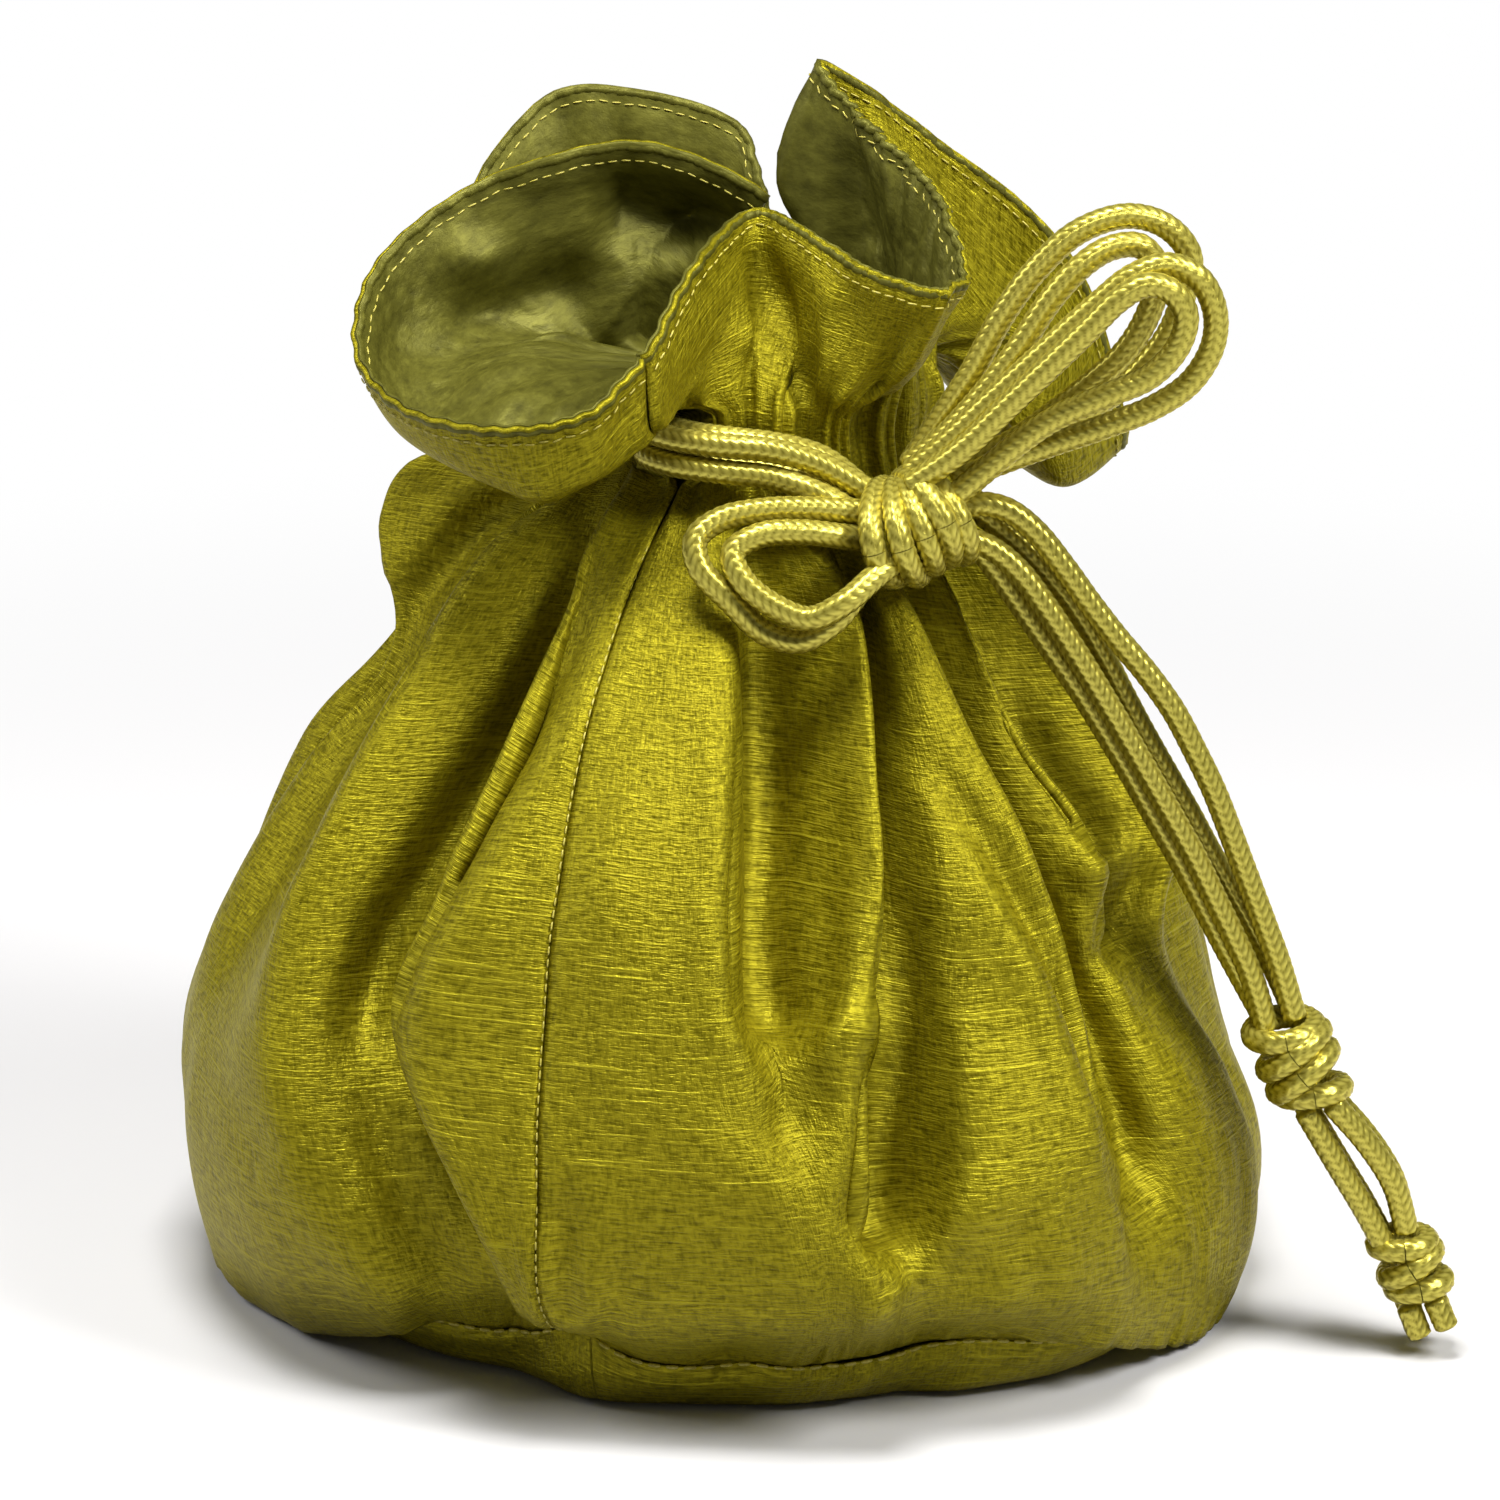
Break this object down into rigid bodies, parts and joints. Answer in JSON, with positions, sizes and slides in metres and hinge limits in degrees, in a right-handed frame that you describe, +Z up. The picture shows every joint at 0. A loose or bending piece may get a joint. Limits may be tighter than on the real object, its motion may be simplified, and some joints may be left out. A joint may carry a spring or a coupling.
{
  "type": "kinchaku drawstring pouch",
  "caption": "Drawstring pouch of slubbed silk with a satin lining, drawn shut by a braided cord tied in a bow; pleated round body, flat round base and a ruffled mouth.",
  "frame": {"origin": "centre of the pouch's box, on the surface it stands on, measured without the free cord", "axes": "+Z up through the neck, -Y towards the front seam, +X to the side where the bow's tails hang"},
  "size_m": [0.1911, 0.162, 0.1857],
  "materials": {
    "silk": "slubbed shantung silk, chartreuse to olive, soft sheen",
    "lining": "olive satin with fine creases",
    "cord": "glossy braided satin cord, pale gold green"
  },
  "bodies": {
    "root": {"outer_panel_right": "silk", "outer_panel_left": "silk", "base_panel": "silk", "lining_panel_right": "lining", "lining_panel_left": "lining", "lining_base": "lining", "casing_cord_upper": "cord", "casing_cord_lower": "cord", "lead_inner_upper": "cord", "lead_inner_lower": "cord", "lead_outer_upper": "cord", "lead_outer_lower": "cord", "loop_a_outer": "cord", "loop_a_inner": "cord", "loop_b_outer": "cord", "loop_b_inner": "cord", "loop_left_outer": "cord", "loop_left_inner": "cord", "tail_outer_front": "cord", "tail_outer_back": "cord", "tail_inner_front": "cord", "tail_inner_back": "cord", "strand_left_front": "cord", "strand_left_back": "cord", "strand_right_front": "cord", "strand_right_back": "cord", "tip_left_front": "cord", "tip_left_back": "cord", "tip_right_front": "cord", "tip_right_back": "cord", "bow_knot": "cord", "tail_knot_upper": "cord", "tail_knot_lower": "cord"}
  },
  "joints": []
}
